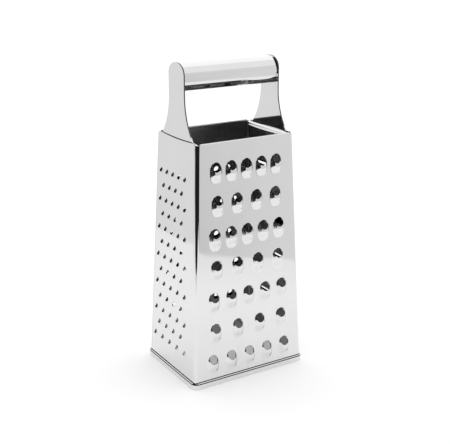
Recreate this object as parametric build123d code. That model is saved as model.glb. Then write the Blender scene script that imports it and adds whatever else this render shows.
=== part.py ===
from build123d import *
import os
from math import atan, cos, hypot, sin, sqrt

# Box grater in polished sheet steel. Four punched walls taper up from a base rim, and two plate
# legs carry a tube grip over the open top. Millimetres, +Z up, X along the wide walls, front at -Y,
# origin on the floor below the middle of the body.

# Heights
overall_height = 240.5
handle_rise = 54.1

# Base rim, pressed from one sheet
rim_length = 100.4
rim_width = 76.0
rim_corner_radius = 4.6
rim_sheet = 0.8
rim_band_height = 4.45
rim_ledge = 1.25
rim_foot_width = 4.2
rim_crease_gap = 0.1

# Walls
wall_sheet = 0.6
top_length = 82.7
top_width = 59.6
corner_radius = 2.8
lap_length = 5.0
lap_gap = 0.1
seam_gap = 0.15
joggle_start = 1.2
top_edge_sag = 1.2

# Hemmed top edges of the wide walls
hem_thickness = 1.8
hem_drop = 4.2
hem_end_gap = 0.4

# Coarse teeth on the front wall
coarse_rows = 7
coarse_top_margin = 17.8
coarse_bottom_row = 21.4
coarse_odd_count = 5
coarse_odd_pitch_top = 12.96
coarse_odd_pitch_bottom = 16.19
coarse_even_count = 4
coarse_even_pitch_top = 16.09
coarse_even_pitch_bottom = 20.37
coarse_mouth_radius = 3.55
coarse_hood_half_width = 5.1
coarse_hood_rise = 2.7
coarse_crown_radius = 18.0
coarse_shoulder_radius = 2.1
coarse_crest_drop = 2.5
coarse_horn_rise = 2.0
coarse_tail = 12.5
coarse_foot_radius = 0.9

# Fine teeth on the left wall
fine_rows = 13
fine_top_margin = 28.5
fine_bottom_row = 23.8
fine_odd_count = 5
fine_even_count = 4
fine_pitch_top = 9.04
fine_pitch_bottom = 11.66
fine_rearward = 3.6
fine_mouth_radius = 1.85
fine_hood_half_width = 2.8
fine_hood_rise = 1.0
fine_hood_drop = 1.4

# Medium teeth on the rear wall
medium_rows = 17
medium_top_margin = 19.0
medium_bottom_row = 21.0
medium_odd_count = 5
medium_even_count = 6
medium_pitch_top = 10.6
medium_pitch_bottom = 13.8
medium_mouth_radius = 2.0
medium_hood_half_width = 3.0
medium_hood_rise = 1.2
medium_hood_drop = 1.5

# Slicing blades on the right wall
blade_rows = 4
blade_top_margin = 34.0
blade_bottom_row = 44.0
blade_length = 38.0
blade_rise = 1.8
blade_ramp = 8.0
blade_opening = 2.6

# Handle
grip_radius = 10.4
grip_sheet = 0.8
grip_seat_gap = 0.1
leg_sheet = 1.0
leg_seat_gap = 0.1
leg_head_margin = 0.5
leg_neck_half_width = 11.2
leg_crown_radius = 14.0
leg_shoulder_radius = 8.0
leg_neck_rise = 30.6
leg_foot_half_width = 22.4
leg_lap = 1.0
ledge_bend_radius = 2.6
ledge_depth = 7.0
ledge_end_depth = 3.6

# One overrun serves every cut
overrun = 5.0

# Derived sizes
body_top = overall_height - handle_rise
rim_height = rim_band_height + rim_ledge
crease_length = rim_length - 2 * (rim_ledge + rim_crease_gap)
crease_width = rim_width - 2 * (rim_ledge + rim_crease_gap)
hem_radius = hem_thickness / 2
sheet_top = body_top - hem_radius
grip_height = overall_height - leg_head_margin - grip_radius
leg_neck_height = body_top + leg_neck_rise
leg_reach = top_length / 2 - wall_sheet - leg_seat_gap

outward = {"front": (0, -1), "rear": (0, 1), "left": (-1, 0), "right": (1, 0)}


def half_length(z):
    """Half the body's outer length along X at height z."""
    rise_share = (z - rim_height) / (body_top - rim_height)
    return (crease_length + (top_length - crease_length) * rise_share) / 2


def half_width(z):
    """Half the body's outer width along Y at height z."""
    rise_share = (z - rim_height) / (body_top - rim_height)
    return (crease_width + (top_width - crease_width) * rise_share) / 2


def wall_plane(side, z):
    """Plane on a wall's outer face at height z: X across the wall, Y up it, Z outward."""
    x_out, y_out = outward[side]
    reach = half_width if x_out == 0 else half_length
    lean = atan((reach(rim_height) - reach(body_top)) / (body_top - rim_height))
    origin = (x_out * reach(z), y_out * reach(z), z)
    normal = (x_out * cos(lean), y_out * cos(lean), sin(lean))
    return Plane(origin, x_dir=(-y_out, x_out, 0), z_dir=normal)


def leaning_slab(inset, z_low, z_high, plane, reach):
    """Block between two opposite leaning walls, drawn in by inset, endless across them."""
    low = reach(z_low) - inset
    high = reach(z_high) - inset
    corners = [(-low, z_low), (low, z_low), (high, z_high), (-high, z_high)]
    section = plane * make_face(Polyline(*corners, close=True))
    return extrude(section, rim_length, both=True)


def length_slab(inset, z_low, z_high):
    """Block between the two narrow walls."""
    return leaning_slab(inset, z_low, z_high, Plane.XZ, half_length)


def width_slab(inset, z_low, z_high):
    """Block between the two wide walls."""
    return leaning_slab(inset, z_low, z_high, Plane.YZ, half_width)


def tapered_block(inset, z_low, z_high, bend):
    """The body's tapered outline drawn in by inset, its four leaning corners rounded."""
    block = length_slab(inset, z_low, z_high) & width_slab(inset, z_low, z_high)
    uprights = [e for e in block.edges() if abs(e.tangent_at(0.5).Z) > 0.5]
    return fillet(uprights, bend)


def wall_ring(z_top):
    """All four walls as one bent sheet, from the rim's foot up to z_top."""
    outside = tapered_block(0, rim_sheet, z_top, corner_radius)
    inner_radius = corner_radius - wall_sheet
    return outside - tapered_block(wall_sheet, rim_sheet - overrun, z_top + overrun, inner_radius)


def lap_flanges():
    """Four strips behind the narrow walls, joggled off the ends of the corner bends."""
    z_low = rim_sheet
    z_high = body_top - hem_drop - lap_gap
    outer_inset = wall_sheet + lap_gap
    layers = length_slab(outer_inset, z_low, z_high)
    layers -= length_slab(outer_inset + wall_sheet, z_low - overrun, z_high + overrun)
    strips = layers & width_slab(joggle_start, z_low, z_high)
    return strips - width_slab(corner_radius + lap_length, z_low - overrun, z_high + overrun)


def hem(side):
    """Top edge folded inward over a rounded turn, along one wide wall."""
    drop = hem_drop - hem_radius
    fold = Pos(-drop / 2, -hem_radius) * Rectangle(drop, hem_thickness)
    fold += Pos(0, -hem_radius) * Circle(hem_radius)
    slot_drop = drop + overrun
    slot_thickness = hem_thickness - 2 * wall_sheet
    slot = Pos(-slot_drop / 2, -hem_radius) * Rectangle(slot_drop, slot_thickness)
    slot += Pos(0, -hem_radius) * Circle(slot_thickness / 2)
    half_span = half_length(sheet_top) - corner_radius - hem_end_gap
    strip = extrude(Plane.YZ * (fold - slot), half_span, both=True)
    return wall_plane(side, sheet_top) * strip


def crowned_ends(half, top, crown_radius, shoulder_radius):
    """Ends of a crown's flat arc and of the round shoulders that blend it into upright sides."""
    crown_z = top - crown_radius
    shoulder_x = half - shoulder_radius
    reach = crown_radius - shoulder_radius
    shoulder_z = crown_z + sqrt(reach**2 - shoulder_x**2)
    blend_share = crown_radius / reach
    blend = (shoulder_x * blend_share, crown_z + (shoulder_z - crown_z) * blend_share)
    return blend, (half, shoulder_z)


def crowned_arcs(half, top, crown_radius, shoulder_radius):
    """Crown arc and both shoulder arcs, centred on the vertical axis."""
    blend, side = crowned_ends(half, top, crown_radius, shoulder_radius)
    crown = ThreePointArc((-blend[0], blend[1]), (0, top), blend)
    right = TangentArc(side, blend, tangent=(0, 1))
    left = TangentArc((-side[0], side[1]), (-blend[0], blend[1]), tangent=(0, 1))
    return [crown, right, left]


class ScoopTooth:
    """Coarse tooth: a round mouth over a flat-crowned scoop that sinks down the wall to its tail."""

    def __init__(self):
        self.hood = self.with_soft_foot(self.channel(0) & self.side_view(0) & self.layer(wall_sheet / 2))
        hollow = self.channel(wall_sheet) & self.side_view(wall_sheet) & self.layer(2 * wall_sheet)
        self.cutter = hollow + Cylinder(coarse_mouth_radius, 2 * (coarse_hood_rise + wall_sheet))

    def channel(self, inset):
        """Endless channel with a flat crown and round shoulders, drawn in by inset."""
        half = coarse_hood_half_width - inset
        top = coarse_hood_rise - inset
        crown_radius = coarse_crown_radius - inset
        shoulder_radius = coarse_shoulder_radius - inset
        side = crowned_ends(half, top, crown_radius, shoulder_radius)[1]
        arcs = crowned_arcs(half, top, crown_radius, shoulder_radius)
        depth = -coarse_tail
        walls = Polyline((-half, side[1]), (-half, depth), (half, depth), side)
        slope = coarse_hood_rise / (coarse_tail - coarse_crest_drop)
        start = Pos(0, coarse_horn_rise, slope * (coarse_horn_rise + coarse_crest_drop))
        section = start * (Plane.XZ * make_face([*arcs, walls]))
        run = coarse_horn_rise + coarse_tail + overrun
        return extrude(section, run * hypot(1, slope), dir=(0, -1, -slope))

    def side_view(self, inset):
        """Block below the bevel that climbs from the horns' ends to the crest, drawn in by inset."""
        climb = coarse_horn_rise + coarse_crest_drop
        foot = coarse_horn_rise - inset * hypot(climb, coarse_hood_rise) / coarse_hood_rise
        end = -coarse_tail - overrun
        depth = -coarse_tail
        top = 2 * coarse_hood_rise
        outline = [(foot, depth), (foot, 0), (foot - 2 * climb, top), (end, top), (end, depth)]
        return extrude(Plane.YZ * make_face(Polyline(*outline, close=True)), coarse_tail, both=True)

    def layer(self, depth):
        """Block of everything above a depth below the wall's outer face."""
        height = coarse_tail
        return Pos(0, 0, height / 2 - depth) * Box(2 * height, 4 * height, height)

    def with_soft_foot(self, scoop):
        """The scoop on a patch of the wall's sheet, the crease between them rounded."""
        margin = coarse_foot_radius + wall_sheet / 2
        width = 2 * (coarse_hood_half_width + margin)
        height = coarse_horn_rise + coarse_tail + 2 * margin
        middle = (coarse_horn_rise - coarse_tail) / 2
        patch = scoop + Pos(0, middle, -wall_sheet / 4) * Box(width, height, wall_sheet / 2)
        surface = patch.edges().filter_by_position(Axis.Z, -wall_sheet / 8, wall_sheet / 8)
        limit = coarse_hood_half_width + margin / 2
        creases = [e for e in surface if e.bounding_box().max.X < limit and e.bounding_box().min.X > -limit]
        return fillet(creases, coarse_foot_radius)


class DomeTooth:
    """Small tooth: a round mouth whose lower lip stands out as a shallow dome."""

    def __init__(self, mouth_radius, half_width_at_sheet, rise, drop):
        reach = 2 * half_width_at_sheet + drop
        above = Pos(0, 0, reach / 2 - wall_sheet / 2) * Box(2 * reach, 3 * reach, reach)
        behind = Pos(0, 0, reach / 2 - 2 * wall_sheet) * Box(2 * reach, 3 * reach, reach)
        depth = (half_width_at_sheet**2 - rise**2) / (2 * rise)
        crest = Pos(0, -drop, -depth)
        self.hood = crest * Sphere(depth + rise) & above
        hollow = crest * Sphere(depth + rise - wall_sheet) & behind
        self.cutter = hollow + Cylinder(mouth_radius, 2 * (rise + wall_sheet))


def tooth_rows(rows, top, bottom):
    """Heights of a pattern's rows, from the top one down."""
    return [top - (top - bottom) * row / (rows - 1) for row in range(rows)]


def row_places(count, pitch):
    """Places of one row's teeth across the wall, centred."""
    return [(i - (count - 1) / 2) * pitch for i in range(count)]


def punched(panel, side, tooth, places):
    """The panel with a tooth at each (across, height) place on its outer face."""
    planes = [wall_plane(side, z) * Pos(x, 0, 0) for x, z in places]
    hoods = [place * tooth.hood for place in planes]
    cutters = [place * tooth.cutter for place in planes]
    return panel.fuse(*hoods).cut(*cutters)


def staggered_places(rows, top_margin, bottom, odd, even):
    """Places of alternating rows, each kind given as its count, top pitch and bottom pitch."""
    places = []
    for row, z in enumerate(tooth_rows(rows, body_top - top_margin, bottom)):
        count, pitch_top, pitch_bottom = even if row % 2 else odd
        pitch = pitch_top + (pitch_bottom - pitch_top) * row / (rows - 1)
        places += [(x, z) for x in row_places(count, pitch)]
    return places


def wide_panel(flanges, side):
    """A wide wall before punching: flat, both corner bends, lap flanges and hem."""
    sign = outward[side][1]
    pick = Axis.Y if sign < 0 else -Axis.Y
    halves = wall_ring(sheet_top) - width_slab(corner_radius, -overrun, body_top + overrun)
    strips = [s for s in flanges.solids() if s.center().Y * sign > 0]
    return halves.solids().sort_by(pick)[0].fuse(*strips, hem(side))


def narrow_panel(side):
    """A narrow wall before punching: a flat plate between the corner bends, its top edge bowed."""
    sign = outward[side][0]
    pick = Axis.X if sign < 0 else -Axis.X
    inset = corner_radius + seam_gap
    plates = wall_ring(body_top) & width_slab(inset, -overrun, body_top + overrun)
    half = half_width(body_top) - inset
    bow_radius = (half**2 + top_edge_sag**2) / (2 * top_edge_sag)
    bow = Plane.YZ * Pos(0, body_top - top_edge_sag + bow_radius) * Circle(bow_radius)
    return plates.solids().sort_by(pick)[0] - extrude(bow, rim_length, both=True)


def front_panel(flanges):
    """Wide wall with the coarse teeth."""
    odd = (coarse_odd_count, coarse_odd_pitch_top, coarse_odd_pitch_bottom)
    even = (coarse_even_count, coarse_even_pitch_top, coarse_even_pitch_bottom)
    places = staggered_places(coarse_rows, coarse_top_margin, coarse_bottom_row, odd, even)
    return punched(wide_panel(flanges, "front"), "front", ScoopTooth(), places)


def rear_panel(flanges):
    """Wide wall with the medium teeth."""
    tooth = DomeTooth(
        medium_mouth_radius, medium_hood_half_width, medium_hood_rise, medium_hood_drop
    )
    odd = (medium_odd_count, medium_pitch_top, medium_pitch_bottom)
    even = (medium_even_count, medium_pitch_top, medium_pitch_bottom)
    places = staggered_places(medium_rows, medium_top_margin, medium_bottom_row, odd, even)
    return punched(wide_panel(flanges, "rear"), "rear", tooth, places)


def left_panel():
    """Narrow wall with the fine teeth, which lie nearer to its rear edge."""
    tooth = DomeTooth(fine_mouth_radius, fine_hood_half_width, fine_hood_rise, fine_hood_drop)
    odd = (fine_odd_count, fine_pitch_top, fine_pitch_bottom)
    even = (fine_even_count, fine_pitch_top, fine_pitch_bottom)
    centred = staggered_places(fine_rows, fine_top_margin, fine_bottom_row, odd, even)
    places = [(x - fine_rearward, z) for x, z in centred]
    return punched(narrow_panel("left"), "left", tooth, places)


class Blade:
    """A slicing blade: a straight slot with a ramp pressed outward below it."""

    def __init__(self):
        ramp = [(0, -wall_sheet / 2), (0, blade_rise), (-blade_ramp, 0), (-blade_ramp, -wall_sheet / 2)]
        wedge = make_face(Polyline(*ramp, close=True))
        self.hood = extrude(Plane.YZ * wedge, blade_length / 2, both=True)
        under = blade_rise - wall_sheet
        back = -wall_sheet - overrun
        slot = [(0, under), (-blade_ramp, -wall_sheet), (-blade_ramp, back), (blade_opening, back)]
        hollow = make_face(Polyline(*slot, (blade_opening, under), close=True))
        self.cutter = extrude(Plane.YZ * hollow, blade_length / 2 - wall_sheet, both=True)


def right_panel():
    """Narrow wall with the slicing blades."""
    rows = tooth_rows(blade_rows, body_top - blade_top_margin, blade_bottom_row)
    return punched(narrow_panel("right"), "right", Blade(), [(0, z) for z in rows])


def base_rim():
    """Rim round the foot: outer band, sloping ledge up to the walls and a foot flange turned in."""
    block = extrude(RectangleRounded(rim_length, rim_width, rim_corner_radius), rim_height)
    block = chamfer(block.faces().sort_by(Axis.Z)[-1].edges(), rim_ledge)
    inner_radius = rim_corner_radius - rim_sheet
    pocket = RectangleRounded(rim_length - 2 * rim_sheet, rim_width - 2 * rim_sheet, inner_radius)
    block -= Pos(0, 0, rim_sheet) * extrude(pocket, rim_height - 2 * rim_sheet)
    hole = RectangleRounded(rim_length - 2 * rim_foot_width, rim_width - 2 * rim_foot_width, inner_radius)
    block -= extrude(hole, rim_height, both=True)
    return block - tapered_block(-rim_crease_gap, rim_sheet, body_top, corner_radius + rim_crease_gap)


def leg_plate():
    """Flat plate of a leg: crowned head over the grip, straight neck and flared foot."""
    half = leg_neck_half_width
    bend_z = body_top - leg_lap
    shoulder_z = crowned_ends(half, overall_height, leg_crown_radius, leg_shoulder_radius)[1][1]
    lines = crowned_arcs(half, overall_height, leg_crown_radius, leg_shoulder_radius)
    for side in (-1, 1):
        neck = Line((side * half, shoulder_z), (side * half, leg_neck_height))
        foot = (side * leg_foot_half_width, body_top)
        flare = TangentArc(neck @ 1, foot, tangent=(0, -1))
        toe = Line(foot, (side * leg_foot_half_width, bend_z))
        lines += [neck, flare, toe]
    lines.append(Line((-leg_foot_half_width, bend_z), (leg_foot_half_width, bend_z)))
    return extrude(Plane.YZ * make_face(lines), leg_sheet)


def leg_ledge():
    """Ledge turned inward at a leg's foot, from wide wall to wide wall, its inner edge bowed."""
    bend_z = body_top - leg_lap
    low = bend_z - ledge_bend_radius
    high = low + leg_sheet
    inner_radius = ledge_bend_radius - leg_sheet
    start = leg_sheet + inner_radius
    outer_bend = RadiusArc((0, bend_z), (start, low), ledge_bend_radius)
    inner_bend = RadiusArc((leg_sheet, bend_z), (start, high), inner_radius)
    flat = Polyline((start, low), (ledge_depth, low), (ledge_depth, high), (start, high))
    profile = make_face([outer_bend, inner_bend, flat, Line((0, bend_z), (leg_sheet, bend_z))])
    half = half_width(sheet_top) - hem_thickness - leg_seat_gap
    strip = extrude(Plane.XZ * profile, half, both=True)
    near = (ledge_end_depth, -half)
    far = (ledge_end_depth, half)
    bow = ThreePointArc(near, (ledge_depth, 0), far)
    back = Polyline(near, (-leg_sheet, -half), (-leg_sheet, half), far)
    return strip & extrude(make_face([bow, back]), overall_height)


def handle_leg():
    """Flat leg whose foot lies behind the narrow wall's top edge and turns inward as a ledge."""
    return Pos(-leg_reach, 0, 0) * (leg_plate() + leg_ledge())


def grip_tube():
    """Tube between the legs' inner faces."""
    half = leg_reach - leg_sheet - grip_seat_gap
    ring = Circle(grip_radius) - Circle(grip_radius - grip_sheet)
    return Pos(0, 0, grip_height) * extrude(Plane.YZ * ring, half, both=True)


def build_parts():
    """Every piece of the grater by its node's name."""
    flanges = lap_flanges()
    left_leg = handle_leg()
    return {
        "front_panel": front_panel(flanges),
        "rear_panel": rear_panel(flanges),
        "left_panel": left_panel(),
        "right_panel": right_panel(),
        "base_rim": base_rim(),
        "left_handle_leg": left_leg,
        "right_handle_leg": mirror(left_leg, Plane.YZ),
        "grip_tube": grip_tube(),
    }


os.makedirs("parts", exist_ok=True)
for name, piece in build_parts().items():
    export_step(piece, f"parts/{name}.step")
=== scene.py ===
"""Studio scene of a four-sided box grater in mirror-polished sheet steel.

The front wall's toothed flat is made here. Every other piece keeps its modelled shape and gets its
finish. Polished steel shows what stands round it, so the scene also holds the tones that it mirrors.
"""

import logging
import math
from dataclasses import dataclass, field
from enum import Enum

import bmesh
import bpy
from mathutils import Matrix, Vector
from mathutils.geometry import delaunay_2d_cdt


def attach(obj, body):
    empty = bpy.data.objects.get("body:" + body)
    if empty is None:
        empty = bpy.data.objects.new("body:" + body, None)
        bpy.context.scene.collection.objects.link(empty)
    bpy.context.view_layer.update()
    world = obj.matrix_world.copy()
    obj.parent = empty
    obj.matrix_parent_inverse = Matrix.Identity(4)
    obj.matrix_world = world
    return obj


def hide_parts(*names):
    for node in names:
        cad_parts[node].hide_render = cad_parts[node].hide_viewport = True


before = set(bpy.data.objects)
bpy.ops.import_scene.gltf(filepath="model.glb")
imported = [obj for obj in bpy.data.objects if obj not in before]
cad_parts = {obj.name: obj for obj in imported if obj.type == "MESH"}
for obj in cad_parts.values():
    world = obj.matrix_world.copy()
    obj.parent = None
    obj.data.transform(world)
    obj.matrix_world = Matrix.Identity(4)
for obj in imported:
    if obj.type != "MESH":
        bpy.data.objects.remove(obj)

LOG = logging.getLogger("grater")
MM = 0.001


def linear(hex_colour: str) -> tuple[float, float, float, float]:
    """Turn an sRGB hex colour into linear light.

    Args:
        hex_colour: Six hex digits, such as "c8c8c8".

    Returns:
        Linear red, green, blue and an alpha of one.
    """
    shades = [int(hex_colour[i:i + 2], 16) / 255 for i in (0, 2, 4)]
    light = [s / 12.92 if s <= 0.04045 else ((s + 0.055) / 1.055) ** 2.4 for s in shades]
    return (light[0], light[1], light[2], 1.0)


def add_node(tree: bpy.types.NodeTree, kind: str, sockets: dict[str | int, object] | None = None,
             **settings: object) -> bpy.types.Node:
    """Add a shader node with its settings and links.

    Args:
        tree: The node tree that takes the node.
        kind: The node's type name without its "ShaderNode" start.
        sockets: Input names or numbers, each with a plain value or the output that feeds it.
        settings: Attributes of the node.

    Returns:
        The new node.
    """
    node = tree.nodes.new("ShaderNode" + kind)
    for name, value in settings.items():
        setattr(node, name, value)
    for name, value in (sockets or {}).items():
        if isinstance(value, bpy.types.NodeSocket):
            tree.links.new(value, node.inputs[name])
        else:
            node.inputs[name].default_value = value
    return node


def new_material(name: str) -> tuple[bpy.types.Material, bpy.types.NodeTree]:
    """Start a node material.

    Args:
        name: The material's name.

    Returns:
        The material and its empty tree.
    """
    material = bpy.data.materials.new(name)
    material.use_nodes = True
    material.node_tree.nodes.clear()
    return material, material.node_tree


def add_square(name: str, half_m: float, height_m: float,
               material: bpy.types.Material) -> bpy.types.Object:
    """Add a level square round the origin.

    Args:
        name: The square's name.
        half_m: Half its side.
        height_m: Its height.
        material: Its material.

    Returns:
        The square's object.
    """
    mesh = bpy.data.meshes.new(name)
    corners = [(x * half_m, y * half_m, height_m) for x, y in ((-1, -1), (1, -1), (1, 1), (-1, 1))]
    mesh.from_pydata(corners, [], [(0, 1, 2, 3)])
    mesh.materials.append(material)
    square = bpy.data.objects.new(name, mesh)
    bpy.context.scene.collection.objects.link(square)
    return square


class Slot(Enum):
    """The record's material slots."""

    WALL = "wall_steel"
    RIM = "rim_steel"
    LEG = "leg_steel"
    GRIP = "grip_steel"


@dataclass(frozen=True)
class BodyTaper:
    """How the body's outer half size falls with height along X and Y."""

    foot_x: float
    foot_y: float
    lean_x: float
    lean_y: float

    @classmethod
    def measured(cls, slice_share: float = 0.02, corner_share: float = 0.93) -> "BodyTaper":
        """Read the taper off the front wall, whose corner bends reach the body's full size.

        Args:
            slice_share: Half the height of the slice measured at each end, as a share of the wall's.
            corner_share: Share of the half length beyond which a point belongs to a corner bend.

        Returns:
            The taper, in metres.
        """
        points = [vertex.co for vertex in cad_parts["front_panel"].data.vertices]
        low = min(point.z for point in points)
        high = max(point.z for point in points)
        slice_height = slice_share * (high - low)
        sizes = []
        for level in (low + slice_height, high - slice_height):
            near = [point for point in points if abs(point.z - level) < slice_height]
            reach_x = max(abs(point.x) for point in near)
            corner = [point for point in near if abs(point.x) > corner_share * reach_x]
            reach_y = max(abs(point.y) for point in corner)
            sizes.append((min(point.z for point in near), reach_x, reach_y))
        climb = sizes[1][0] - sizes[0][0]
        lean_x = (sizes[0][1] - sizes[1][1]) / climb
        lean_y = (sizes[0][2] - sizes[1][2]) / climb
        return cls(sizes[0][1] + lean_x * low, sizes[0][2] + lean_y * low, lean_x, lean_y)


@dataclass(frozen=True)
class PolishedSteel:
    """Stainless sheet steel, rolled, pressed and buffed to a mirror.

    The sheet isn't quite flat, so straight reflections in it wander, and the buffing leaves faint
    clouds where the gloss is a little softer.
    """

    name: str
    bright: str = "e6e6e6"
    dull: str = "e0e0e0"
    roughness: float = 0.03
    cloud_roughness: float = 0.07
    cloud_size_mm: float = 18.0
    cloud_edges: tuple[float, float] = (0.3, 0.7)
    wave_length_mm: float = 45.0
    wave_height_mm: float = 0.02

    def build(self) -> bpy.types.Material:
        """Make the material.

        Returns:
            The node material.
        """
        material, tree = new_material(self.name)
        place = add_node(tree, "TexCoord").outputs["Object"]
        add_node(tree, "OutputMaterial", {"Surface": self.shader(tree, place)})
        return material

    def shader(self, tree: bpy.types.NodeTree, place: bpy.types.NodeSocket) -> bpy.types.NodeSocket:
        """Add the polished surface.

        Args:
            tree: The material's tree.
            place: The point on the object.

        Returns:
            The shader.
        """
        clouds = add_node(tree, "TexNoise", {
            "Vector": place, "Scale": 1 / (self.cloud_size_mm * MM), "Detail": 3.0})
        colour = add_node(tree, "Mix", {
            "Factor": clouds.outputs["Fac"], "A": linear(self.dull), "B": linear(self.bright)},
            data_type="RGBA")
        gloss = add_node(tree, "MapRange", {
            "Value": clouds.outputs["Fac"], "From Min": self.cloud_edges[0],
            "From Max": self.cloud_edges[1], "To Min": self.roughness, "To Max": self.cloud_roughness})
        waves = add_node(tree, "TexNoise", {
            "Vector": place, "Scale": 1 / (self.wave_length_mm * MM), "Detail": 1.0})
        bump = add_node(tree, "Bump", {
            "Height": waves.outputs["Fac"], "Strength": 1.0, "Distance": self.wave_height_mm * MM})
        steel = add_node(tree, "BsdfPrincipled", {
            "Base Color": self.painted_darks(tree, place, colour.outputs["Result"]), "Metallic": 1.0,
            "Roughness": gloss.outputs["Result"], "Normal": bump.outputs["Normal"]})
        return steel.outputs["BSDF"]

    def painted_darks(self, tree: bpy.types.NodeTree, place: bpy.types.NodeSocket,
                colour: bpy.types.NodeSocket) -> bpy.types.NodeSocket:
        """Give the colour with its painted dark marks, such as painted shade; plain sheet has none."""
        return colour


@dataclass(frozen=True)
class FoldedSteel(PolishedSteel):
    """Polished sheet folded round the foot, painted dark along its two folds: a painted reflection of the
    dark room on the outer fold and painted shade in the crease.
    """

    # painted shade and painted dark reflection along the two folds
    painted_fold_dark: str = "101010"
    fold_heights_mm: tuple[float, ...] = (4.4, 5.55)
    fold_half_mm: float = 0.3
    fold_blur_mm: float = 0.1

    def painted_darks(self, tree: bpy.types.NodeTree, place: bpy.types.NodeSocket,
                colour: bpy.types.NodeSocket) -> bpy.types.NodeSocket:
        """Paint dark lines along the folds, as painted reflection and painted shade.

        Args:
            tree: The material's tree.
            place: The point on the object.
            colour: The steel's colour.

        Returns:
            The colour with the fold lines.
        """
        height = add_node(tree, "SeparateXYZ", {0: place}).outputs["Z"]
        for fold in self.fold_heights_mm:
            near = add_node(tree, "Math", {0: height, 1: fold * MM}, operation="SUBTRACT")
            gap = add_node(tree, "Math", {0: near.outputs[0]}, operation="ABSOLUTE")
            share = add_node(tree, "MapRange", {
                "Value": gap.outputs[0], "From Min": (self.fold_half_mm + self.fold_blur_mm) * MM,
                "From Max": self.fold_half_mm * MM})
            colour = add_node(tree, "Mix", {
                "Factor": share.outputs["Result"], "A": colour, "B": linear(self.painted_fold_dark)},
                data_type="RGBA").outputs["Result"]
        return colour


@dataclass(frozen=True)
class ShearedPlateSteel(PolishedSteel):
    """Polished plate whose edge faces, high on the legs, are painted darker, so that a dark line outlines
    the legs.

    Where the plate goes down behind a wall's top edge, a dark line is painted on it as painted shadow in
    the gap. An edge is told from the plate's flat sides by how far its face looks along X.
    """

    # edge faces high on the legs are painted this darker colour
    edge_shade: str = "5a5a5a"
    edge_from_mm: float = 190.0
    edge_blur_mm: float = 1.0
    edge_looks: tuple[float, float] = (0.8, 0.5)
    side_looks: float = 0.7
    # painted shadow in the gap where the leg goes down behind the wall's top edge
    painted_gap_shadow: str = "1c1c1c"
    joint_width_mm: float = 1.0
    joint_blur_mm: float = 0.15
    wall_top_mm: float = 186.4
    wall_sag_mm: float = 1.2
    wall_half_width_mm: float = 29.8

    def painted_darks(self, tree: bpy.types.NodeTree, place: bpy.types.NodeSocket,
                colour: bpy.types.NodeSocket) -> bpy.types.NodeSocket:
        """Paint the sheared edges darker, and paint the shadow in the gap at the joint with the wall.

        Args:
            tree: The material's tree.
            place: The point on the object.
            colour: The steel's colour.

        Returns:
            The colour with darker edges and the painted shadow line.
        """
        facing = add_node(tree, "SeparateXYZ", {0: add_node(tree, "NewGeometry").outputs["True Normal"]})
        flat = add_node(tree, "Math", {0: facing.outputs["X"]}, operation="ABSOLUTE")
        edge = add_node(tree, "MapRange", {
            "Value": flat.outputs[0], "From Min": self.edge_looks[0], "From Max": self.edge_looks[1]})
        height = add_node(tree, "SeparateXYZ", {0: place}).outputs["Z"]
        high = add_node(tree, "MapRange", {
            "Value": height, "From Min": (self.edge_from_mm - self.edge_blur_mm) * MM,
            "From Max": self.edge_from_mm * MM})
        share = add_node(tree, "Math", {0: edge.outputs["Result"], 1: high.outputs["Result"]},
                         operation="MULTIPLY")
        edged = add_node(tree, "Mix", {
            "Factor": share.outputs[0], "A": colour, "B": linear(self.edge_shade)}, data_type="RGBA")
        return add_node(tree, "Mix", {
            "Factor": self.joint(tree, place, facing.outputs["X"]), "A": edged.outputs["Result"],
            "B": linear(self.painted_gap_shadow)}, data_type="RGBA").outputs["Result"]

    def joint(self, tree: bpy.types.NodeTree, place: bpy.types.NodeSocket,
              facing_x: bpy.types.NodeSocket) -> bpy.types.NodeSocket:
        """Add the share of the painted shadow line above the wall's top edge, on the plate's outer side.

        The wall's top edge sags a little between its corners.

        Args:
            tree: The material's tree.
            place: The point on the object.
            facing_x: The surface's direction along X.

        Returns:
            One on the line and zero elsewhere.
        """
        axes = add_node(tree, "SeparateXYZ", {0: place})
        side = add_node(tree, "Math", {0: axes.outputs["X"]}, operation="SIGN")
        outward = add_node(tree, "Math", {0: facing_x, 1: side.outputs[0]}, operation="MULTIPLY")
        outer = add_node(tree, "Math", {0: outward.outputs[0], 1: self.side_looks},
                         operation="GREATER_THAN")
        across = add_node(tree, "Math", {0: axes.outputs["Y"], 1: self.wall_half_width_mm * MM},
                          operation="DIVIDE")
        bow = add_node(tree, "Math", {0: across.outputs[0], 1: 2.0}, operation="POWER")
        sag = self.wall_sag_mm * MM
        edge = add_node(tree, "Math", {0: bow.outputs[0], 1: sag, 2: self.wall_top_mm * MM - sag},
                        operation="MULTIPLY_ADD")
        above = add_node(tree, "Math", {0: axes.outputs["Z"], 1: edge.outputs[0]}, operation="SUBTRACT")
        near = add_node(tree, "MapRange", {
            "Value": above.outputs[0], "From Min": self.joint_width_mm * MM,
            "From Max": (self.joint_width_mm - self.joint_blur_mm) * MM})
        return add_node(tree, "Math", {0: near.outputs["Result"], 1: outer.outputs[0]},
                        operation="MULTIPLY").outputs[0]


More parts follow.
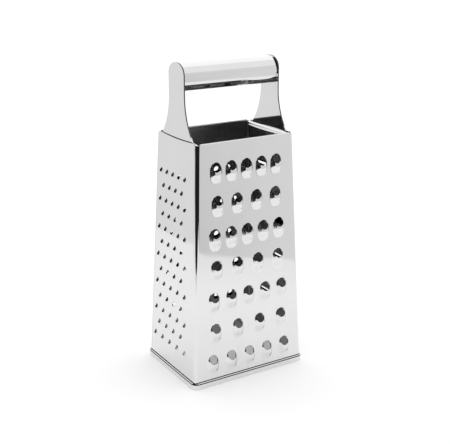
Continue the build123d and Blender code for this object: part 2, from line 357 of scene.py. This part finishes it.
@dataclass(frozen=True)
class PunchedSheetSteel(PolishedSteel):
    """Sheet steel buffed on its outer side, its inner side left as the rolls made it.

    The inner side is duller, and its colour is painted darker as painted shade, so the body looks black
    through its mouths and from above.
    Drawing the sheet into hoods stretches its skin, so their shoulders mirror less sharply than the
    flat, and the buffing wheel brings some of the gloss back on their crowns.
    """

    # inner side's colour, painted darker as painted shade so the inside of the body looks black
    inner_shade: str = "a4a4a4"
    inner_roughness: tuple[float, float] = (0.22, 0.38)
    grain_mm: float = 0.6
    skin_mm: tuple[float, float] = (0.35, 0.45)
    bend_radius_mm: float = 2.8
    drawn_roughness: float = 0.17
    drawn_rise_mm: tuple[float, float] = (0.18, 0.45)
    crown_roughness: float = 0.1
    crown_rise_mm: tuple[float, float] = (1.0, 2.0)
    dome_softness: float = 0.92

    def build_for(self, taper: BodyTaper, facing: Vector | None = None) -> bpy.types.Material:
        """Make the material for a wall of the body.

        Args:
            taper: The walls' outer size at each height.
            facing: The wall's outward direction, where its small domes are to look shallow. None
                where its hoods show their full form.

        Returns:
            The node material.
        """
        material, tree = new_material(self.name)
        place = add_node(tree, "TexCoord").outputs["Object"]
        depth = self.depth(tree, place, taper)
        outer = self.shader(tree, place)
        if facing is None:
            self.soften_hoods(tree, outer.node, depth)
        else:
            self.level_domes(tree, outer.node, facing)
        inside = add_node(tree, "MapRange", {
            "Value": depth, "From Min": self.skin_mm[0] * MM, "From Max": self.skin_mm[1] * MM})
        both = add_node(tree, "MixShader", {
            0: inside.outputs["Result"], 1: outer, 2: self.inner_side(tree, place)})
        add_node(tree, "OutputMaterial", {"Surface": both.outputs["Shader"]})
        return material

    def soften_hoods(self, tree: bpy.types.NodeTree, steel: bpy.types.Node,
                     depth: bpy.types.NodeSocket) -> None:
        """Take gloss from the drawn hoods.

        Args:
            tree: The material's tree.
            steel: The outer side's shader node.
            depth: The depth below the flat, negative on a hood.
        """
        drawn = add_node(tree, "MapRange", {
            "Value": depth, "From Min": -self.drawn_rise_mm[0] * MM,
            "From Max": -self.drawn_rise_mm[1] * MM})
        rough = add_node(tree, "MapRange", {
            "Value": depth, "From Min": -self.crown_rise_mm[0] * MM,
            "From Max": -self.crown_rise_mm[1] * MM, "To Min": self.drawn_roughness,
            "To Max": self.crown_roughness})
        gloss = add_node(tree, "Mix", {
            "Factor": drawn.outputs["Result"], "A": steel.inputs["Roughness"].links[0].from_socket,
            "B": rough.outputs["Result"]})
        tree.links.new(gloss.outputs["Result"], steel.inputs["Roughness"])

    def level_domes(self, tree: bpy.types.NodeTree, steel: bpy.types.Node, facing: Vector) -> None:
        """Turn the surface's direction towards the wall's, so that small domes look shallow.

        Args:
            tree: The material's tree.
            steel: The outer side's shader node.
            facing: The wall's outward direction.
        """
        softened = add_node(tree, "Mix", {
            "Factor": self.dome_softness, "A": steel.inputs["Normal"].links[0].from_socket,
            "B": facing.normalized()}, data_type="VECTOR")
        level = add_node(tree, "VectorMath", {0: softened.outputs["Result"]}, operation="NORMALIZE")
        tree.links.new(level.outputs["Vector"], steel.inputs["Normal"])

    def inner_side(self, tree: bpy.types.NodeTree,
                   place: bpy.types.NodeSocket) -> bpy.types.NodeSocket:
        """Add the dull inner side with its fine rolled grain, its colour painted darker as painted shade.

        Args:
            tree: The material's tree.
            place: The point on the object.

        Returns:
            The shader.
        """
        grain = add_node(tree, "TexNoise", {
            "Vector": place, "Scale": 1 / (self.grain_mm * MM), "Detail": 2.0})
        gloss = add_node(tree, "MapRange", {
            "Value": grain.outputs["Fac"], "To Min": self.inner_roughness[0],
            "To Max": self.inner_roughness[1]})
        return add_node(tree, "BsdfPrincipled", {
            "Base Color": linear(self.inner_shade), "Metallic": 1.0,
            "Roughness": gloss.outputs["Result"]}).outputs["BSDF"]

    def depth(self, tree: bpy.types.NodeTree, place: bpy.types.NodeSocket,
              taper: BodyTaper) -> bpy.types.NodeSocket:
        """Add the depth below the body's outer faces and its round corner bends.

        Args:
            tree: The material's tree.
            place: The point on the object.
            taper: The walls' outer size at each height.

        Returns:
            The depth in metres, negative where the sheet stands proud.
        """
        axes = add_node(tree, "SeparateXYZ", {0: place})
        radius = self.bend_radius_mm * MM
        shortfalls = []
        for axis, foot, lean in (("X", taper.foot_x, taper.lean_x), ("Y", taper.foot_y, taper.lean_y)):
            reach = add_node(tree, "Math", {0: axes.outputs[axis]}, operation="ABSOLUTE")
            outer = add_node(tree, "Math", {0: axes.outputs["Z"], 1: -lean, 2: foot},
                             operation="MULTIPLY_ADD")
            below = add_node(tree, "Math", {0: outer.outputs[0], 1: reach.outputs[0]},
                             operation="SUBTRACT")
            short = add_node(tree, "Math", {0: radius, 1: below.outputs[0]}, operation="SUBTRACT")
            shortfalls.append(add_node(tree, "Math", {0: short.outputs[0], 1: 0.0},
                                       operation="MAXIMUM").outputs[0])
        away = add_node(tree, "VectorMath", {
            0: add_node(tree, "CombineXYZ", {0: shortfalls[0], 1: shortfalls[1]}).outputs[0]},
            operation="LENGTH")
        return add_node(tree, "Math", {0: radius, 1: away.outputs["Value"]},
                        operation="SUBTRACT").outputs[0]


@dataclass(frozen=True)
class DressedPiece:
    """A modelled piece that keeps its shape and gets its finish."""

    node: str
    slot: Slot

    def dress(self, finish: bpy.types.Material) -> None:
        """Give the piece its finish.

        Args:
            finish: The material.
        """
        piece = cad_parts[self.node]
        piece.data.materials.clear()
        piece.data.materials.append(finish)
        LOG.info("%s: %s in slot %s", self.node, finish.name, self.slot.value)


@dataclass(frozen=True)
class CoarseTooth:
    """A coarse tooth: a round mouth over a hood that is pressed outward below and beside it.

    Its crown is flat and level under the mouth, then rolls down to the tail. The shoulders are steep
    and round, and the foot runs out softly into the sheet. Two horns of the hood reach up beside the
    mouth. Heights on the wall count from the mouth's middle. The tooth lies in a patch of sheet of its
    own, in rings from the mouth's edge to the patch's edge.
    """

    mouth_radius_mm: float = 3.55
    rise_mm: float = 2.4
    half_width_mm: float = 5.35
    widest_mm: float = -2.8
    horn_half_width_mm: float = 3.7
    horn_end_mm: float = 3.4
    horn_full_mm: float = -0.6
    roll_start_mm: float = -5.0
    tail_mm: float = -13.6
    tail_power: float = 1.5
    tail_narrowing: float = 0.8
    crown_share: float = 0.42
    patch_half_width_mm: float = 6.3
    patch_top_mm: float = 5.0
    patch_bottom_mm: float = -14.3
    patch_roundness: float = 0.65
    patch_border_share: float = 0.03
    spokes: int = 48
    rings: int = 14
    slope_step_mm: float = 0.02

    @staticmethod
    def ease(share: float) -> float:
        """Ease a share from 0 to 1 with level ends."""
        share = min(1.0, max(0.0, share))
        return 0.5 - 0.5 * math.cos(math.pi * share)

    def height(self, across: float, up: float) -> float:
        """Give the hood's height over the sheet.

        Args:
            across: Place across the wall from the mouth's middle, in mm.
            up: Place up the wall from the mouth's middle, in mm.

        Returns:
            The height in mm.
        """
        horn = self.ease((self.horn_end_mm - up) / (self.horn_end_mm - self.horn_full_mm))
        past = max(0.0, (self.roll_start_mm - up) / (self.roll_start_mm - self.tail_mm))
        tail = (1.0 - self.ease(past)) ** self.tail_power
        spread = self.ease((self.horn_end_mm - up) / (self.horn_end_mm - self.widest_mm))
        width = self.horn_half_width_mm + (self.half_width_mm - self.horn_half_width_mm) * spread
        width *= math.sqrt(max(0.0, 1.0 - past ** 2 * self.tail_narrowing))
        side = (abs(across) / width - self.crown_share) / (1.0 - self.crown_share)
        return self.rise_mm * horn * tail * (1.0 - self.ease(side))

    def spot(self, ring: int, spoke: int) -> tuple[float, float]:
        """Give a grid point's place on the wall.

        Args:
            ring: 0 at the mouth's edge, up to the number of rings at the patch's edge.
            spoke: The point's number round the mouth.

        Returns:
            The place across and up the wall, in mm.
        """
        turn = 2 * math.pi * spoke / self.spokes
        across, up = math.sin(turn), math.cos(turn)
        reach = self.patch_top_mm * up
        if up < 0:
            reach = self.patch_bottom_mm * abs(up) ** self.patch_roundness
        share = min(1.0, ring / (self.rings - 1)) * (1.0 - self.patch_border_share)
        if ring == self.rings:
            share += self.patch_border_share
        near = (self.mouth_radius_mm * across, self.mouth_radius_mm * up)
        far = (self.patch_half_width_mm * across, reach)
        return (near[0] + (far[0] - near[0]) * share, near[1] + (far[1] - near[1]) * share)

    def skin(self, ring: int, spoke: int, sheet_mm: float) -> Vector:
        """Give a point on the tooth's outer side, or sheet_mm behind it.

        Args:
            ring: The point's ring.
            spoke: The point's spoke.
            sheet_mm: Depth behind the outer side.

        Returns:
            The point across, up and out of the wall, in mm.
        """
        across, up = self.spot(ring, spoke)
        step = self.slope_step_mm
        slope_across = (self.height(across + step, up) - self.height(across - step, up)) / (2 * step)
        slope_up = (self.height(across, up + step) - self.height(across, up - step)) / (2 * step)
        normal = Vector((-slope_across, -slope_up, 1.0)).normalized()
        return Vector((across, up, self.height(across, up))) - normal * sheet_mm


@dataclass
class FrontWall:
    """The wall with the coarse teeth, its flat sheet made anew with fuller hoods.

    The rows spread with the taper, so each pitch has its value at the top row and at the bottom row.
    The flat is cut out as a window, and its margin, low and high edges clear the bends, rim and hem.
    """

    tooth: CoarseTooth = field(default_factory=CoarseTooth)
    rows: int = 7
    top_row_mm: float = 168.6
    bottom_row_mm: float = 21.4
    odd_count: int = 5
    odd_pitch_mm: tuple[float, float] = (12.96, 16.19)
    even_count: int = 4
    even_pitch_mm: tuple[float, float] = (16.09, 20.37)
    sheet_mm: float = 0.6
    window_margin_mm: float = 5.0
    window_low_mm: float = 6.8
    window_high_mm: float = 178.0
    weld_mm: float = 0.002
    cut_mm: float = 0.001
    crease_deg: float = 35.0

    def places(self) -> list[tuple[float, float]]:
        """List the teeth's places.

        Returns:
            Each mouth's x and z, in mm.
        """
        places = []
        for row in range(self.rows):
            share = row / (self.rows - 1)
            z = self.top_row_mm + (self.bottom_row_mm - self.top_row_mm) * share
            count, pitches = self.odd_count, self.odd_pitch_mm
            if row % 2:
                count, pitches = self.even_count, self.even_pitch_mm
            pitch = pitches[0] + (pitches[1] - pitches[0]) * share
            places += [((i - (count - 1) / 2) * pitch, z) for i in range(count)]
        return places

    def build(self, taper: BodyTaper, finish: bpy.types.Material) -> None:
        """Make the wall and put it in the place of the plain one.

        Args:
            taper: The walls' outer size at each height.
            finish: The wall's material.
        """
        mesh = self.make_mesh(taper)
        mesh.materials.append(finish)
        wall = bpy.data.objects.new(mesh.name, mesh)
        bpy.context.scene.collection.objects.link(wall)
        weighted = wall.modifiers.new("level_flats", "WEIGHTED_NORMAL")
        weighted.weight = 100
        weighted.keep_sharp = True
        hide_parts("front_panel")
        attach(wall, "root")

    def make_mesh(self, taper: BodyTaper) -> bpy.types.Mesh:
        """Make the mesh from the plain wall's bends, flanges and hem and a new toothed sheet.

        Args:
            taper: The walls' outer size at each height.

        Returns:
            The closed mesh.
        """
        mesh_kit = bmesh.new()
        mesh_kit.from_mesh(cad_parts["front_panel"].data)
        bmesh.ops.remove_doubles(mesh_kit, verts=mesh_kit.verts, dist=self.weld_mm * MM)
        self.cut_window(mesh_kit, taper)
        loops = self.cut_loops(mesh_kit)
        low = min((v.co for v in loops[0]), key=lambda co: co.z)
        high = max((v.co for v in loops[0]), key=lambda co: co.z)
        up = (Vector((0.0, high.y, high.z)) - Vector((0.0, low.y, low.z))).normalized()
        out = Vector((0.0, -up.z, up.y))
        rims = []
        for x, z in self.places():
            y = low.y + (z * MM - low.z) * up.y / up.z
            rims.append(self.add_tooth(mesh_kit, Vector((x * MM, y, z * MM)), up, out))
        for side, loop in enumerate(loops):
            self.fill(mesh_kit, loop, [rim[side] for rim in rims], up)
        bmesh.ops.recalc_face_normals(mesh_kit, faces=mesh_kit.faces)
        mesh = bpy.data.meshes.new("coarse_wall")
        mesh_kit.to_mesh(mesh)
        LOG.info("front wall: %d faces, open edges %d", len(mesh.polygons),
                 sum(1 for edge in mesh_kit.edges if len(edge.link_faces) != 2))
        mesh_kit.free()
        mesh.shade_smooth()
        mesh.set_sharp_from_angle(angle=math.radians(self.crease_deg))
        return mesh

    def cut_window(self, mesh_kit: bmesh.types.BMesh, taper: BodyTaper) -> None:
        """Cut the toothed part of the flat out of the wall.

        Args:
            mesh_kit: The wall's mesh.
            taper: The walls' outer size at each height.
        """
        reach = taper.foot_x - self.window_margin_mm * MM
        planes = [
            (Vector((reach, 0, 0)), Vector((1, 0, taper.lean_x))),
            (Vector((-reach, 0, 0)), Vector((-1, 0, taper.lean_x))),
            (Vector((0, 0, self.window_high_mm * MM)), Vector((0, 0, 1))),
            (Vector((0, 0, self.window_low_mm * MM)), Vector((0, 0, -1))),
        ]
        for point, normal in planes:
            everything = mesh_kit.verts[:] + mesh_kit.edges[:] + mesh_kit.faces[:]
            bmesh.ops.bisect_plane(mesh_kit, geom=everything, dist=self.cut_mm * MM,
                                   plane_co=point, plane_no=normal)
        inside = [face for face in mesh_kit.faces
                  if all((face.calc_center_median() - point).dot(normal) < 0 for point, normal in planes)]
        bmesh.ops.delete(mesh_kit, geom=inside, context="FACES")

    @staticmethod
    def cut_loops(mesh_kit: bmesh.types.BMesh) -> list[list[bmesh.types.BMVert]]:
        """Find the window's edge on the outer and on the inner side, each in order.

        Args:
            mesh_kit: The wall's mesh.

        Returns:
            The two loops, the outer side's first.
        """
        links: dict[bmesh.types.BMVert, list[bmesh.types.BMVert]] = {}
        for edge in mesh_kit.edges:
            if len(edge.link_faces) == 1:
                one, other = edge.verts
                links.setdefault(one, []).append(other)
                links.setdefault(other, []).append(one)
        loops = []
        waiting = set(links)
        while waiting:
            start = next(iter(waiting))
            loop = [start]
            last, here = start, links[start][0]
            while here is not start:
                loop.append(here)
                last, here = here, next(v for v in links[here] if v is not last)
            waiting -= set(loop)
            loops.append(loop)
        LOG.info("window loops: %s", [len(loop) for loop in loops])
        return sorted(loops, key=lambda loop: sum(v.co.y for v in loop) / len(loop))

    def add_tooth(self, mesh_kit: bmesh.types.BMesh, middle: Vector, up: Vector,
                  out: Vector) -> tuple[list[bmesh.types.BMVert], list[bmesh.types.BMVert]]:
        """Add one tooth as a patch of sheet round its mouth.

        Args:
            mesh_kit: The wall's mesh.
            middle: The mouth's middle on the outer face.
            up: The direction up the wall.
            out: The wall's outward direction.

        Returns:
            The patch's outer edge on the outer and on the inner side.
        """
        tooth = self.tooth
        across = Vector((1.0, 0.0, 0.0))
        sides = []
        for depth in (0.0, self.sheet_mm):
            rings = []
            for ring in range(tooth.rings + 1):
                points = [tooth.skin(ring, spoke, depth) for spoke in range(tooth.spokes)]
                rings.append([mesh_kit.verts.new(middle + (across * p.x + up * p.y + out * p.z) * MM)
                              for p in points])
            for inner, outer in zip(rings, rings[1:]):
                self.join(mesh_kit, inner, outer)
            sides.append(rings)
        self.join(mesh_kit, sides[0][0], sides[1][0])
        return sides[0][-1], sides[1][-1]

    @staticmethod
    def join(mesh_kit: bmesh.types.BMesh, one: list[bmesh.types.BMVert],
             other: list[bmesh.types.BMVert]) -> None:
        """Join two closed rings of points with faces.

        Args:
            mesh_kit: The wall's mesh.
            one: The first ring.
            other: The second ring, with as many points.
        """
        for i in range(len(one)):
            j = (i + 1) % len(one)
            mesh_kit.faces.new((one[i], one[j], other[j], other[i]))

    @staticmethod
    def fill(mesh_kit: bmesh.types.BMesh, loop: list[bmesh.types.BMVert],
             holes: list[list[bmesh.types.BMVert]], up: Vector) -> None:
        """Fill the flat between the window's edge and the teeth.

        Args:
            mesh_kit: The wall's mesh.
            loop: The window's edge.
            holes: The teeth's outer edges.
            up: The direction up the wall.
        """
        points: list[bmesh.types.BMVert] = []
        rings = []
        for ring in (loop, *holes):
            rings.append(list(range(len(points), len(points) + len(ring))))
            points += ring
        flat = [Vector((v.co.x, v.co.dot(up))) for v in points]
        inside_with_holes = 2
        smallest_gap = 1e-9
        found = delaunay_2d_cdt(flat, [], rings, inside_with_holes, smallest_gap)
        triangles, sources = found[2], found[3]
        for corners in triangles:
            mesh_kit.faces.new([points[sources[corner][0]] for corner in corners])


@dataclass
class Walls:
    """The four punched walls of the body."""

    front: FrontWall = field(default_factory=FrontWall)
    finish: PunchedSheetSteel = field(default_factory=lambda: PunchedSheetSteel(
        "mirror_polished_sheet_steel", wave_height_mm=0.25))

    def build(self) -> None:
        """Make the front wall and dress the other three."""
        taper = BodyTaper.measured()
        self.front.build(taper, self.finish.build_for(taper))
        facings = {
            "rear_panel": Vector((0.0, 1.0, taper.lean_y)),
            "left_panel": Vector((-1.0, 0.0, taper.lean_x)),
            "right_panel": Vector((1.0, 0.0, taper.lean_x)),
        }
        for node, facing in facings.items():
            DressedPiece(node, Slot.WALL).dress(self.finish.build_for(taper, facing))


@dataclass
class Rim:
    """The folded rim round the foot."""

    finish: PolishedSteel = field(default_factory=lambda: FoldedSteel(
        "folded_rim_steel", wave_length_mm=25.0, wave_height_mm=0.01))

    def build(self) -> None:
        """Dress the rim."""
        DressedPiece("base_rim", Slot.RIM).dress(self.finish.build())


@dataclass
class Handle:
    """The tube grip and its two plate legs."""

    leg_finish: PolishedSteel = field(default_factory=lambda: ShearedPlateSteel(
        "pressed_leg_steel", wave_length_mm=30.0, wave_height_mm=0.04))
    grip_finish: PolishedSteel = field(default_factory=lambda: PolishedSteel(
        "polished_tube_steel", roughness=0.06, cloud_roughness=0.1, wave_height_mm=0.01))

    def build(self) -> None:
        """Dress the legs and the grip."""
        leg_steel = self.leg_finish.build()
        for node in ("left_handle_leg", "right_handle_leg"):
            DressedPiece(node, Slot.LEG).dress(leg_steel)
        DressedPiece("grip_tube", Slot.GRIP).dress(self.grip_finish.build())


@dataclass(frozen=True)
class Room:
    """What the steel mirrors: a white sheet on the table and the room beyond its edges.

    Turns are degrees from the front, -Y, towards +X. Each edge of the white sheet has the turn of its
    outward direction and its distance from the origin in mm. The rear edge ends where the dark begins.
    A top is how far a direction of length one points upward where the tones give way to white. The
    window's span is how far it points along +Y where the window's light starts and is full. A pair of
    greys holds the levels at which a tone starts and fully counts as dark, or as lit.
    """

    white_edges: tuple[tuple[float, float], ...] = ((52.6, 319.6), (-60.0, 390.0))
    rear_edge: tuple[float, float] = (-98.0, 271.0)
    edge_blur_mm: float = 5.0
    edge_shade_mm: float = 110.0
    edge_shade: float = 0.3
    rear_shade: str = "f0f0f0"
    dark_shade: str = "202020"
    grey_shade: str = "d2d2d2"
    light_grey_shade: str = "ececec"
    white_shade: str = "ffffff"
    dark_start_deg: float = -128.0
    dark_end_deg: float = 12.0
    light_grey_deg: float = 36.0
    grey_end_deg: float = 80.0
    white_start_deg: float = 110.0
    turn_blur_deg: float = 3.0
    dark_top: float = 0.9
    grey_top: float = 0.5
    top_blur: float = 0.05
    dark_greys: tuple[float, float] = (0.3, 0.2)
    lit_greys: tuple[float, float] = (0.2, 0.5)
    window_span: tuple[float, float] = (-0.1, 0.06)
    window_glow: float = 1.22
    half_size_m: float = 2.6
    height_mm: float = 0.5

    def tone(self, tree: bpy.types.NodeTree, x: bpy.types.NodeSocket,
             y: bpy.types.NodeSocket) -> bpy.types.NodeSocket:
        """Add the room's tone for a direction.

        Args:
            tree: The tree that takes the nodes.
            x: The direction's part along +X.
            y: The direction's part along +Y.

        Returns:
            The tone.
        """
        front = add_node(tree, "Math", {0: y, 1: -1.0}, operation="MULTIPLY")
        turn = add_node(tree, "Math", {0: x, 1: front.outputs[0]}, operation="ARCTAN2")
        share = add_node(tree, "MapRange", {
            "Value": turn.outputs[0], "From Min": -math.pi, "From Max": math.pi})
        ramp = add_node(tree, "ValToRGB", {"Fac": share.outputs["Result"]})
        blur = self.turn_blur_deg
        tones = (
            (-180.0, self.rear_shade),
            (self.dark_start_deg - blur, self.rear_shade),
            (self.dark_start_deg + blur, self.dark_shade),
            (self.dark_end_deg - blur, self.dark_shade),
            (self.dark_end_deg + blur, self.grey_shade),
            (self.light_grey_deg, self.light_grey_shade),
            (self.grey_end_deg, self.light_grey_shade),
            (self.white_start_deg, self.white_shade),
            (180.0, self.white_shade),
        )
        stops = ramp.color_ramp.elements
        while len(stops) > 1:
            stops.remove(stops[0])
        stops[0].position, stops[0].color = 0.0, linear(tones[0][1])
        for degrees, shade in tones[1:]:
            stop = stops.new((degrees + 180.0) / 360.0)
            stop.color = linear(shade)
        return ramp.outputs["Color"]

    def build_table_tones(self) -> None:
        """Lay the room's tones round the white sheet, where only reflections show them."""
        material, tree = new_material("room_tones")
        place = add_node(tree, "TexCoord").outputs["Object"]
        axes = add_node(tree, "SeparateXYZ", {0: place})
        tone = self.tone(tree, axes.outputs["X"], axes.outputs["Y"])
        glow = add_node(tree, "Emission", {"Color": tone, "Strength": 1.0})
        clear = add_node(tree, "BsdfTransparent")
        lit = add_node(tree, "MapRange", {
            "Value": add_node(tree, "RGBToBW", {0: tone}).outputs[0],
            "From Min": self.lit_greys[0], "From Max": self.lit_greys[1]})
        share = add_node(tree, "Math", {
            0: self.beyond(tree, place, *self.rear_edge), 1: lit.outputs["Result"]},
            operation="MULTIPLY").outputs[0]
        for degrees, reach in self.white_edges:
            share = add_node(tree, "Math", {0: share, 1: self.beyond(tree, place, degrees, reach)},
                             operation="MAXIMUM").outputs[0]
        cover = add_node(tree, "MixShader", {
            0: share, 1: clear.outputs["BSDF"], 2: glow.outputs["Emission"]})
        add_node(tree, "OutputMaterial", {"Surface": cover.outputs["Shader"]})
        tones = add_square("room_round_paper", self.half_size_m, self.height_mm * MM, material)
        tones.visible_camera = False
        tones.visible_diffuse = False
        tones.visible_shadow = False

    def beyond(self, tree: bpy.types.NodeTree, place: bpy.types.NodeSocket, degrees: float,
               reach_mm: float) -> bpy.types.NodeSocket:
        """Add the share of a place that lies beyond one of the white sheet's edges.

        Args:
            tree: The tree that takes the nodes.
            place: The place on the table.
            degrees: The turn of the edge's outward direction.
            reach_mm: The edge's distance from the origin.

        Returns:
            Zero on the white sheet, a little more towards its edge and one beyond it.
        """
        turn = math.radians(degrees)
        normal = (math.sin(turn), -math.cos(turn), 0.0)
        away = add_node(tree, "VectorMath", {0: place, 1: normal}, operation="DOT_PRODUCT")
        edge = add_node(tree, "MapRange", {
            "Value": away.outputs["Value"], "From Min": (reach_mm - self.edge_blur_mm) * MM,
            "From Max": (reach_mm + self.edge_blur_mm) * MM})
        fading = add_node(tree, "MapRange", {
            "Value": away.outputs["Value"], "From Min": (reach_mm - self.edge_shade_mm) * MM,
            "From Max": reach_mm * MM, "To Max": self.edge_shade})
        return add_node(tree, "Math", {0: edge.outputs["Result"], 1: fading.outputs["Result"]},
                        operation="MAXIMUM").outputs[0]

    def above(self, tree: bpy.types.NodeTree, up: bpy.types.NodeSocket,
              top: float) -> bpy.types.NodeSocket:
        """Add the share of a direction that looks above a top.

        Args:
            tree: The tree that takes the nodes.
            up: The direction's upward part.
            top: The top's upward part.

        Returns:
            Zero below the top and one above it.
        """
        return add_node(tree, "MapRange", {
            "Value": up, "From Min": top - self.top_blur,
            "From Max": top + self.top_blur}).outputs["Result"]

    def build_world(self) -> None:
        """Surround the object with soft white light, and with the room's tones for reflections."""
        world = bpy.data.worlds.new("soft_studio")
        bpy.context.scene.world = world
        world.use_nodes = True
        tree = world.node_tree
        tree.nodes.clear()
        mirrored = add_node(tree, "LightPath").outputs["Is Glossy Ray"]
        way = add_node(tree, "SeparateXYZ", {0: add_node(tree, "TexCoord").outputs["Generated"]})
        tone = self.tone(tree, way.outputs["X"], way.outputs["Y"])
        is_dark = add_node(tree, "MapRange", {
            "Value": add_node(tree, "RGBToBW", {0: tone}).outputs[0],
            "From Min": self.dark_greys[0], "From Max": self.dark_greys[1]})
        lifted = add_node(tree, "Mix", {
            "Factor": is_dark.outputs["Result"], "A": self.above(tree, way.outputs["Z"], self.grey_top),
            "B": self.above(tree, way.outputs["Z"], self.dark_top)})
        white = linear(self.white_shade)
        mirrored_tone = add_node(tree, "Mix", {
            "Factor": lifted.outputs["Result"], "A": tone, "B": white}, data_type="RGBA")
        seen = add_node(tree, "Mix", {
            "Factor": mirrored, "A": white, "B": mirrored_tone.outputs["Result"]}, data_type="RGBA")
        behind = add_node(tree, "MapRange", {
            "Value": way.outputs["Y"], "From Min": self.window_span[0],
            "From Max": self.window_span[1], "To Min": 1.0, "To Max": self.window_glow})
        glow = add_node(tree, "Mix", {"Factor": mirrored, "A": 1.0, "B": behind.outputs["Result"]})
        light = add_node(tree, "Background", {
            "Color": seen.outputs["Result"], "Strength": glow.outputs["Result"]})
        add_node(tree, "OutputWorld", {"Surface": light.outputs["Background"]})


@dataclass
class Studio:
    """White table, soft light and the room that the steel mirrors."""

    table_half_m: float = 3.0
    table_shade: str = "e6e6e6"
    table_lift: float = 0.29
    room: Room = field(default_factory=Room)

    def build_table(self) -> None:
        """Lay the white table, which shows pure white but keeps the shadow."""
        material, tree = new_material("white_table")
        paint = add_node(tree, "BsdfDiffuse", {"Color": linear(self.table_shade)})
        lift = add_node(tree, "Emission", {"Color": linear("ffffff"), "Strength": self.table_lift})
        both = add_node(tree, "AddShader", {0: paint.outputs["BSDF"], 1: lift.outputs["Emission"]})
        add_node(tree, "OutputMaterial", {"Surface": both.outputs["Shader"]})
        add_square("table_top", self.table_half_m, 0.0, material)

    def build(self) -> None:
        """Build the table, what the steel mirrors and the light."""
        self.build_table()
        self.room.build_world()
        self.room.build_table_tones()
        LOG.info("studio built")


@dataclass
class Camera:
    """The photograph's viewpoint."""

    azimuth_deg: float = -31.65
    elevation_deg: float = 17.97
    distance_mm: float = 717.9
    aim_mm: tuple[float, float, float] = (17.17, 27.46, 104.33)
    focal_px: float = 885.0
    frame_px: float = 450.0
    sensor_mm: float = 36.0
    clip_m: tuple[float, float] = (0.01, 20.0)

    def build(self) -> None:
        """Make the scene's camera."""
        turn, rise = math.radians(self.azimuth_deg), math.radians(self.elevation_deg)
        back = Vector((math.sin(turn) * math.cos(rise), -math.cos(turn) * math.cos(rise),
                       math.sin(rise)))
        right = Vector((math.cos(turn), math.sin(turn), 0.0))
        up = back.cross(right)
        data = bpy.data.cameras.new("photograph_view")
        data.sensor_width = self.sensor_mm
        data.lens = self.focal_px / self.frame_px * self.sensor_mm
        data.clip_start, data.clip_end = self.clip_m
        camera = bpy.data.objects.new("photograph_view", data)
        bpy.context.scene.collection.objects.link(camera)
        place = (Vector(self.aim_mm) + back * self.distance_mm) * MM
        camera.matrix_world = Matrix.Translation(place) @ Matrix((right, up, back)).transposed().to_4x4()
        bpy.context.scene.camera = camera


def main() -> None:
    """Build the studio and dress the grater."""
    logging.basicConfig(level=logging.INFO)
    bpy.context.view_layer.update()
    bpy.context.scene.view_settings.view_transform = "Standard"
    Camera().build()
    Studio().build()
    Walls().build()
    Rim().build()
    Handle().build()


if __name__ == "__main__":
    main()
